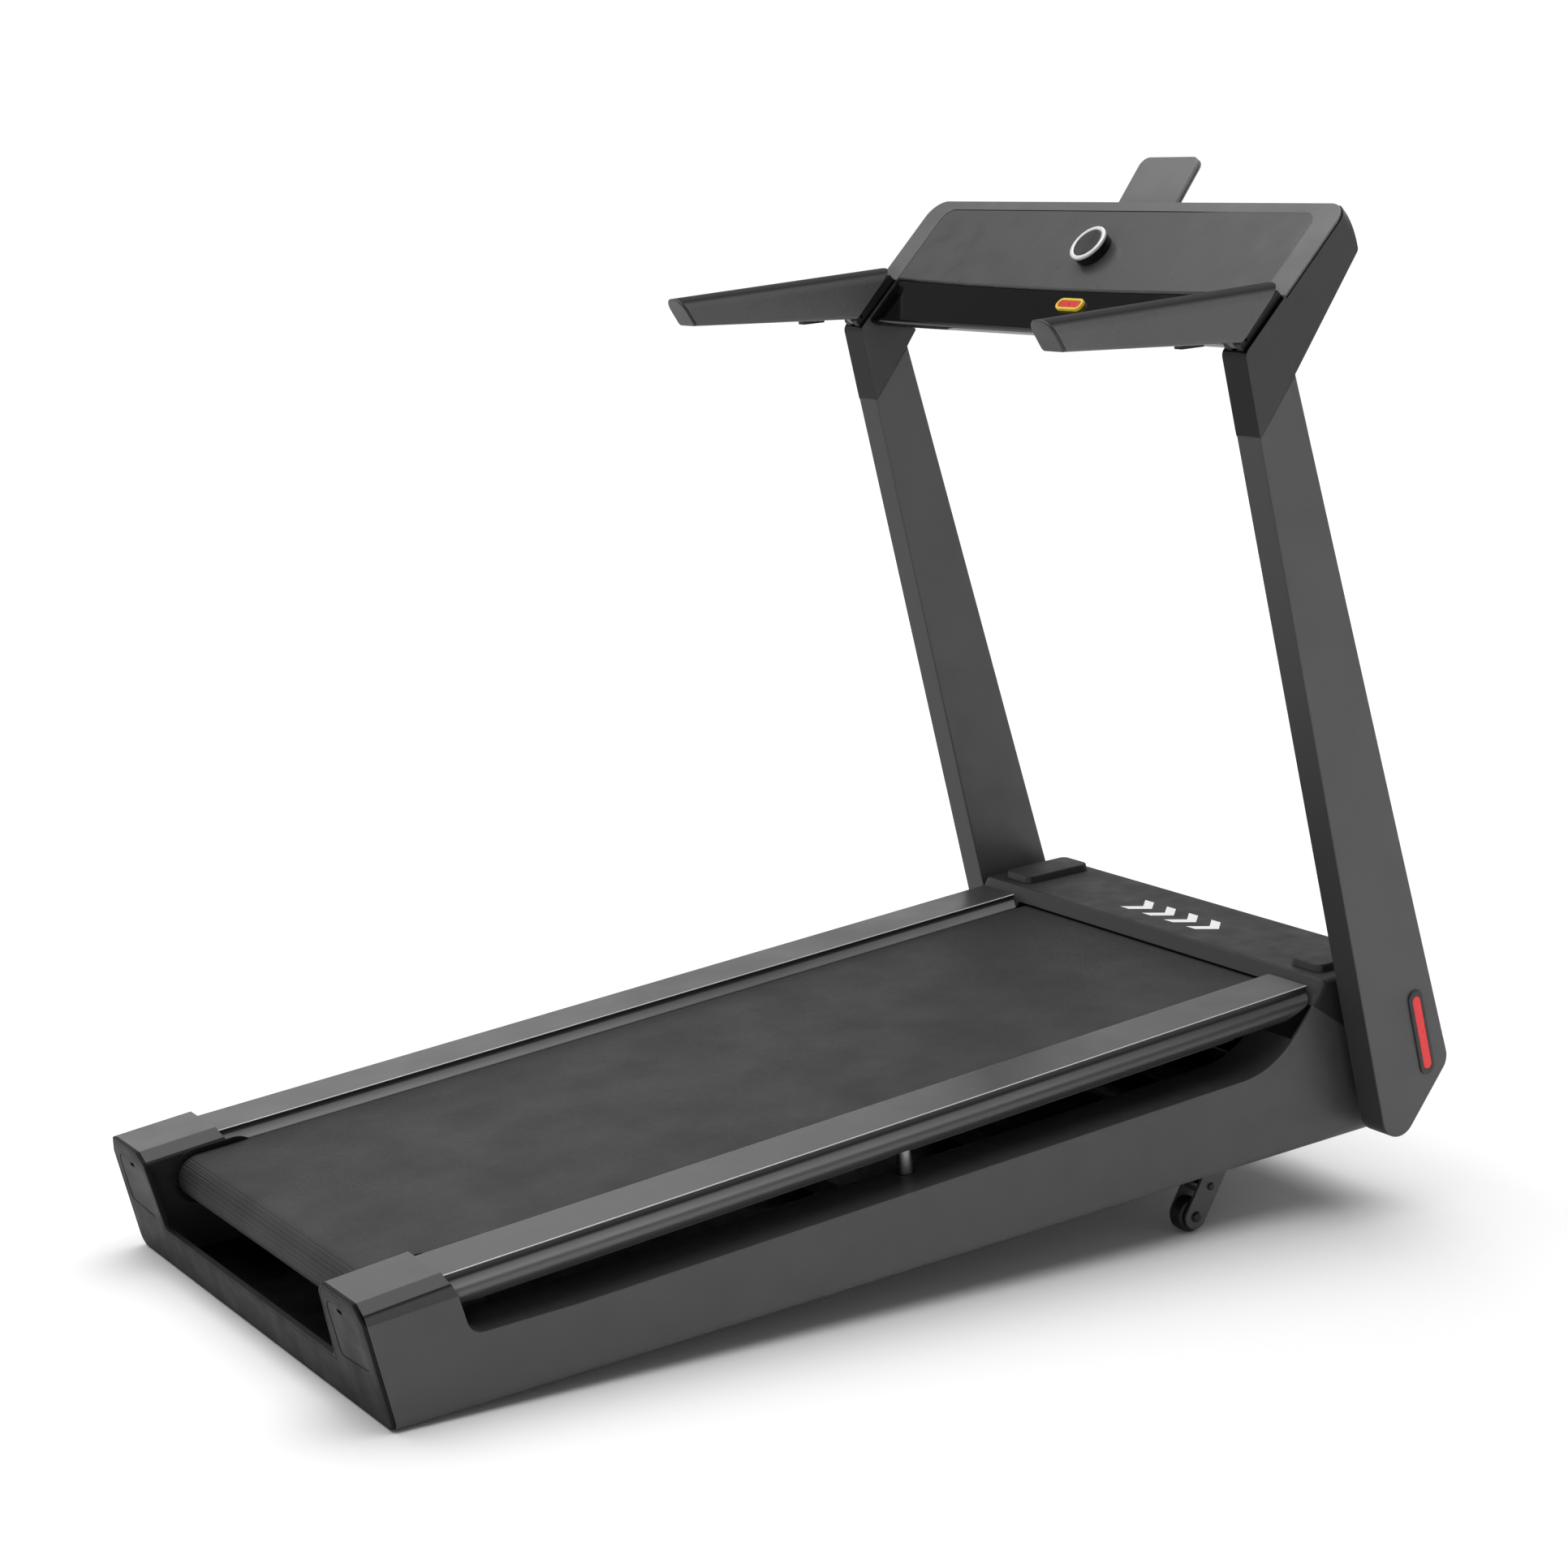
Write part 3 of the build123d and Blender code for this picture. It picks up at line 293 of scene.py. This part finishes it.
def rail_painted_shade(s):
    """Painted shade on the recessed band just under the rail's top edge and on the rail's tucked-in foot.
    """
    height = s.along(deck_up, axle_rear)
    low = s.ramp(height, *shade_band_fade)
    high = s.ramp(height, *shade_band_top, 1.0, 0.0)
    foot = s.ramp(height, *shade_foot_fade, 0.0, 0.75)
    return s.maths("MAXIMUM", s.times(low, high), foot)


def rail_painted_highlights(s):
    """Painted highlight lines on the rounded edges on both sides of the rail's flat top."""
    tilt = s.dot(s.facing, deck_up)
    rounded = s.times(s.ramp(tilt, 0.35, 0.6), s.ramp(tilt, 0.97, 0.995, 1.0, 0.0))
    return s.times(rounded, s.ramp(s.along(deck_up, axle_rear), *highlight_line_start))


# painted steel
paint = coated("frame_paint", 62, 0.42, vary=0.03)
paint_mast = coated("mast_paint", 71, 0.40, vary=0.03, zone=(flanks, 48, 0.55))
# painted light: a lighter copy of the frame paint for the frame parts inside the machine, which sit in
# shade
inner_paint_painted_light = coated("inner_paint_painted_light", 92, 0.5)
# moulded plastic
moulded = coated("dark_moulding", 22, 0.5, vary=0.03, Specular_IOR_Level=0.12)
panel_moulding = coated("end_panel_moulding", 30, 0.5, vary=0.03, Specular_IOR_Level=0.15)
moulded_deep = coated("inner_moulding", 14, 0.55)
cap_gloss = coated("tower_cap_finish", 78, 0.34, depth=0.00001, vary=0.03, zone=(not_top, 32, 0.16))
# painted light: the hood's rear-facing faces are painted lighter than the rest of it
hood_finish = coated("hood_finish", 28, 0.62, grain=1500, depth=0.00006, vary=0.04,
                     zone=(rearward, 58, 0.5), Specular_IOR_Level=0.3)
panel_finish = coated("console_panel_finish", 66, 0.34, depth=0.00002, vary=0.02,
                      Specular_IOR_Level=0.4)
plate_finish = coated("tablet_plate_finish", 112, 0.36, depth=0.00002, vary=0.03)
rim_finish = coated("console_rim_finish", 90, 0.36, depth=0.00001, vary=0.03)
neck_finish = coated("neck_finish", 66, 0.32, depth=0.00002, vary=0.03, zone=(flanks, 4, 0.08),
                     Specular_IOR_Level=0.15)
gloss_black = coated("gloss_black", 5, 0.06, depth=0.000003, rough_vary=0.03, wear=0.05,
                     Specular_IOR_Level=0.4)
knob_cap = coated("knob_cap_finish", 30, 0.25, depth=0.000005, vary=0.02, wear=0.1)
# painted shade: the handles' upward faces are painted near black, in place of a dark reflection on their
# tops
handle_finish = coated("handle_finish", 92, 0.30, depth=0.00001, vary=0.03, zone=(upper, 6, 0.6),
                       Specular_IOR_Level=0.22)
handle_end = coated("handle_end_finish", 34, 0.4)
# the running surface, metal, rubber and wood
# the rails carry painted light: painted shade in the band under the top edge and on the foot, painted
# shade darkening them towards the front, and painted highlight lines on the rounded top edges
rail_finish = coated("rail_anodised", 88, 0.36, depth=0.00001, metal=0.35, smudge=4, vary=0.03,
                     zone=(rail_painted_shade, 38, 0.32), fade=(front_end, 66), lines=(rail_painted_highlights, 190))
belt_finish = woven("belt_weave", 34, 0.003, 0.003)
dark_bolt = coated("dark_bolt", 40, 0.35, metal=0.6)
steel = brushed("turned_steel", 150, 0.3, (1, 60, 60))
chrome = brushed("bright_ring", 228, 0.32, (40, 1, 1), metal=0.45)
tyre_finish = coated("tyre_rubber", 14, 0.6, grain=1800, depth=0.00008)
rubber = coated("soft_rubber", 12, 0.65, grain=1400, depth=0.00006)
wood = coated("deck_board_edge", 70, 0.6, tint=(1.0, 0.82, 0.6), grain=300)
# coloured details
red_lens = coated("red_reflector", 238, 0.3, tint=(1, 0.03, 0.035), depth=0.00004, grain=900,
                  vary=0.03, wear=0.05)
key_red = coated("key_red", 206, 0.3, tint=(1, 0.03, 0.025), depth=0.00001, wear=0.1)
key_yellow = coated("key_yellow", 226, 0.3, tint=(1, 0.74, 0.04), depth=0.00001, wear=0.1)
mark_white = coated("printed_mark", 232, 0.5, depth=0.00001, vary=0.01, wear=0.0)

finishes = {
    paint: ("base_side_left", "base_side_right", "lift_legs", "mast_pivots"),
    inner_paint_painted_light: ("cross_members", "lift_torque_tube", "drive_frame", "deck_subframe"),
    paint_mast: ("upright_left", "upright_right"),
    moulded: ("rear_frame", "front_panel", "roller_guards", "power_module", "belly_pan"),
    panel_moulding: ("end_panels",),
    moulded_deep: ("motor_controller", "lift_actuator", "drive_motor", "handle_hinges"),
    cap_gloss: ("tower_caps",),
    hood_finish: ("hood", "hood_pads"),
    panel_finish: ("console_panel",),
    plate_finish: ("tablet_plate",),
    rim_finish: ("console_rim",),
    neck_finish: ("necks",),
    rail_finish: ("side_rail_left", "side_rail_right"),
    belt_finish: ("running_belt",),
    gloss_black: ("console_housing", "knob_body", "power_rocker"),
    knob_cap: ("knob_button",),
    handle_finish: ("handle_left", "handle_right"),
    handle_end: ("handle_cap_left", "handle_cap_right", "reflector_bezels", "hub_left", "hub_right"),
    dark_bolt: ("leg_bolts",),
    steel: ("lift_rod", "roller_axles", "front_roller", "rear_roller", "roller_pulley",
            "motor_rotor", "shock_posts"),
    chrome: ("knob_ring",),
    tyre_finish: ("tyre_left", "tyre_right"),
    rubber: ("rear_feet", "post_sleeves", "drive_belt", "grip_button_left", "grip_button_right"),
    wood: ("deck_board",),
    red_lens: ("reflectors",),
    key_red: ("safety_key",),
}
for finish, names in finishes.items():
    for name in names:
        nodes[name].data.materials.clear()
        nodes[name].data.materials.append(finish)

# ---- pieces finer than the solids ---------------------------------------------------------------
bpy.context.view_layer.update()


def span(name, axis):
    """How far a node's solid reaches along an axis, as its lowest and highest."""
    at = nodes[name].matrix_world
    reach = [(at @ v.co).dot(axis) for v in nodes[name].data.vertices]
    return min(reach), max(reach)


def panel_point(across, up, out):
    """A world point from its reach along X, up the panel and out of the panel."""
    return sideways * across + panel_up * up + panel_out * out


def machine_point(across, ahead, up):
    """A world point from its reach along X, forward and up, as the nose-up machine stands."""
    return sideways * across + machine_forward * ahead + machine_up * up


def stadium(length, width, steps=12):
    """Outline of a round-ended slot, centred on zero."""
    half, radius = (length - width) / 2, width / 2
    turns = [pi * (i / steps - 0.5) for i in range(steps + 1)]
    right = [(half + radius * cos(t), radius * sin(t)) for t in turns]
    return right + [(-x, -y) for x, y in right]


def disc(radius, steps=16):
    """Outline of a circle, centred on zero."""
    turns = [i * 2 * pi / steps for i in range(steps)]
    return [(radius * cos(t), radius * sin(t)) for t in turns]


def ring_pairs(ring):
    """Each item of a closed ring with the next."""
    return zip(ring, ring[1:] + ring[:1])


def add_mesh(name, shape, finish, body):
    """Makes a piece of a finished bmesh, with its material and the body that it rides on."""
    mesh = bpy.data.meshes.new(name)
    shape.to_mesh(mesh)
    shape.free()
    mesh.materials.append(finish)
    piece = bpy.data.objects.new(name, mesh)
    bpy.context.scene.collection.objects.link(piece)
    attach(piece, body)
    return piece


def slab(name, outline, low, high, place, finish, body, hole=None, rounding=0.0):
    """An outline extruded between two heights, with an optional hole and rounded top edges."""
    shape = bmesh.new()
    loops = [outline] + ([hole] if hole else [])
    rings = [[[shape.verts.new(place(x, y, z)) for x, y in loop] for z in (low, high)]
             for loop in loops]
    for bottom, top in rings:
        for (b0, b1), (t0, t1) in zip(ring_pairs(bottom), ring_pairs(top)):
            shape.faces.new((b0, b1, t1, t0))
    for end in (0, 1):
        if hole:
            outer, inner = rings[0][end], rings[1][end]
            for (o0, o1), (i0, i1) in zip(ring_pairs(outer), ring_pairs(inner)):
                shape.faces.new((o0, o1, i1, i0))
        else:
            shape.faces.new(rings[0][end])
    bmesh.ops.recalc_face_normals(shape, faces=shape.faces)
    if rounding:
        rims = [e for e in shape.edges if any(all(v in top for v in e.verts) for _, top in rings)]
        bmesh.ops.bevel(shape, geom=rims, offset=rounding, segments=3, affect="EDGES", profile=0.5)
    for face in shape.faces:
        face.smooth = False
    return add_mesh(name, shape, finish, body)


# safety key: a yellow ring round a red insert, with the plug that goes into the console
key_side = span("safety_key", sideways)
key_low, key_high = span("safety_key", panel_up)
key_in, key_out = span("safety_key", panel_out)
key_long, key_wide = key_side[1] - key_side[0], key_high - key_low
key_head = 0.004         # thickness of the ring and the insert
ring_wall = 0.0031
insert_gap = 0.0001
insert_depth = 0.0006    # of the insert's face under the ring's
plug_outline = stadium(0.037, 0.009)
dot_radius = 0.0011
dot_relief = 0.0001      # how far the dot reaches over and under the insert's face


def on_key(x, y, z):
    """A point from the middle of the key's outer face."""
    return panel_point((key_side[0] + key_side[1]) / 2 + x, (key_low + key_high) / 2 + y, key_out + z)


def key_outline(inset):
    return stadium(key_long - 2 * inset, key_wide - 2 * inset)


key_pieces = (
    slab("key_ring", key_outline(0), -key_head, 0.0, on_key, key_yellow, "key",
         hole=key_outline(ring_wall), rounding=0.0007),
    slab("key_insert", key_outline(ring_wall + insert_gap), -key_head, -insert_depth, on_key,
         key_red, "key", rounding=0.0008),
    slab("key_plug", plug_outline, key_in - key_out, -key_head, on_key, moulded, "key"),
    slab("key_dot", disc(dot_radius), -insert_depth - dot_relief, -insert_depth + dot_relief,
         on_key, gloss_black, "key"),
)
for piece in key_pieces:
    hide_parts("safety_key")

# lip that closes the floor pan against the front panel
lip_overlap, lip_setback = 0.0005, 0.0035
lip_rear = span("belly_pan", machine_forward)[1] - lip_overlap
lip_front = span("front_panel", machine_forward)[1] - lip_setback
lip_low, lip_high = span("belly_pan", machine_up)
lip_side = span("belly_pan", sideways)[1]
lip_outline = [(-lip_side, lip_rear), (lip_side, lip_rear), (lip_side, lip_front), (-lip_side, lip_front)]
slab("pan_lip", lip_outline, lip_low, lip_high, machine_point, inner_paint_painted_light, "base", rounding=0.0006)

# dark seam round the display panel
seam_gap = 0.0004            # from the panel's edge to the middle of the seam
seam_corner = 0.018
seam_foot = 0.007            # the seam starts this far above the panel's lower edge
seam_section = ((-0.0009, -0.0002), (-0.0007, 0.00006), (0.0007, 0.00006), (0.0009, -0.0002))
panel_low, panel_high = span("console_panel", panel_up)
seam_top = panel_high + seam_gap
seam_bottom = panel_low + seam_foot
seam_side = span("console_panel", sideways)[1] + seam_gap
panel_face = span("console_rim", panel_out)[1]


def seam_path(grow):
    """Up one side of the panel, round its top corners and down the other."""
    radius = seam_corner + grow
    middle = (seam_side - seam_corner, seam_top - seam_corner)
    turns = [i * pi / 16 for i in range(9)]
    corner = [(middle[0] + radius * cos(t), middle[1] + radius * sin(t)) for t in turns]
    right = [(seam_side + grow, seam_bottom)] + corner
    return right + [(-x, y) for x, y in reversed(right)]


seam_shape = bmesh.new()
seam_rows = [[seam_shape.verts.new(panel_point(x, y, panel_face + lift)) for x, y in seam_path(grow)]
             for grow, lift in seam_section]
for first, second in zip(seam_rows, seam_rows[1:]):
    for i in range(len(first) - 1):
        seam_shape.faces.new((first[i], first[i + 1], second[i + 1], second[i]))
add_mesh("panel_seam", seam_shape, gloss_black, "mast")

# a plain mark of four chevrons printed on the hood
mark_left, mark_pitch = -0.082, 0.042
arm, half = 0.017, 0.02      # a chevron's stroke along X, and half of its height
chevron = [(0.0, -half), (arm, -half), (arm + half, 0.0), (arm, half), (0.0, half), (half, 0.0)]
mark_thickness = (-0.0002, 0.00012)
hood_top = span("hood", machine_up)[1]
hood_rear, hood_front = span("hood", machine_forward)
mark_setback = 0.004         # from the middle of the hood
mark_ahead = (hood_rear + hood_front) / 2 - mark_setback
mark_shape = bmesh.new()
for number in range(4):
    left = mark_left + mark_pitch * number
    lower, top = [[mark_shape.verts.new(machine_point(left + x, mark_ahead + y, hood_top + z))
                   for x, y in chevron] for z in mark_thickness]
    mark_shape.faces.new((top[0], top[1], top[2], top[5]))
    mark_shape.faces.new((top[5], top[2], top[3], top[4]))
    for (b0, b1), (t0, t1) in zip(ring_pairs(lower), ring_pairs(top)):
        mark_shape.faces.new((b0, b1, t1, t0))
bmesh.ops.recalc_face_normals(mark_shape, faces=mark_shape.faces)
add_mesh("hood_mark", mark_shape, mark_white, "base")


# ---- studio -------------------------------------------------------------------------------------
def stage_mesh(name, points, faces, material):
    """Adds a piece of the studio, which isn't part of the object."""
    mesh = bpy.data.meshes.new(name)
    mesh.from_pydata(points, [], faces)
    mesh.materials.append(material)
    made = bpy.data.objects.new(name, mesh)
    bpy.context.scene.collection.objects.link(made)
    return made


floor_reach, floor_height = 30, -0.0006
corners = [(-1, -1), (1, -1), (1, 1), (-1, 1)]
floor_finish = finish_shader(Shader("studio_floor"), (0.92, 0.92, 0.92, 1), 0.9, Specular_IOR_Level=0.0)
stage_mesh("floor", [(x * floor_reach, y * floor_reach, floor_height) for x, y in corners],
           [(0, 1, 2, 3)], floor_finish)

# a curved, lit white backdrop behind the machine
wall_radius, wall_start, wall_sweep, wall_steps = 12, 75, 150, 24
glow = Shader("backdrop_light")
lamp = glow.node("ShaderNodeEmission", Color=(1, 1, 1, 1), Strength=1.05)
glow.tree.links.new(lamp.outputs[0], glow.node("ShaderNodeOutputMaterial").inputs["Surface"])
wall_angles = [radians(wall_start + wall_sweep * i / wall_steps) for i in range(wall_steps + 1)]
wall_points = [(wall_radius * cos(t), wall_radius * sin(t), z) for t in wall_angles for z in (-0.1, 6.0)]
wall_faces = [(2 * i, 2 * i + 2, 2 * i + 3, 2 * i + 1) for i in range(wall_steps)]
wall = stage_mesh("backdrop", wall_points, wall_faces, glow.material)
wall.visible_shadow = False

# studio air: light at the horizon, a dark ceiling
world = bpy.data.worlds.new("studio")
bpy.context.scene.world = world
world.use_nodes = True
air = world.node_tree
direction = air.nodes.new("ShaderNodeTexCoord")
split = air.nodes.new("ShaderNodeSeparateXYZ")
dimming = air.nodes.new("ShaderNodeMapRange")
air.links.new(direction.outputs["Generated"], split.inputs[0])
air.links.new(split.outputs[2], dimming.inputs["Value"])
for name, value in (("From Min", 0.2), ("From Max", 0.5), ("To Min", 0.7), ("To Max", 0.17)):
    dimming.inputs[name].default_value = value
air.links.new(dimming.outputs["Result"], air.nodes["Background"].inputs["Strength"])
air.nodes["Background"].inputs["Color"].default_value = (1, 1, 1, 1)


def aim(made, towards):
    """Puts a light or camera in the scene, looking in a direction."""
    made.rotation_mode = "QUATERNION"
    made.rotation_quaternion = Vector(towards).to_track_quat("-Z", "Y")
    bpy.context.scene.collection.objects.link(made)


sun_data = bpy.data.lights.new("ceiling_light", "SUN")
sun_data.energy = 3.0
sun_data.angle = radians(82)
aim(bpy.data.objects.new("ceiling_light", sun_data), (0.16, -0.02, -1))

camera_data = bpy.data.cameras.new("camera")
camera_data.lens = 70.88
camera_data.sensor_width = 36
camera = bpy.data.objects.new("camera", camera_data)
camera.location = (2.8362, -1.8134, 1.1559)
aim(camera, (-0.8262, 0.5308, -0.1888))
bpy.context.scene.camera = camera
bpy.context.scene.view_settings.view_transform = "Standard"
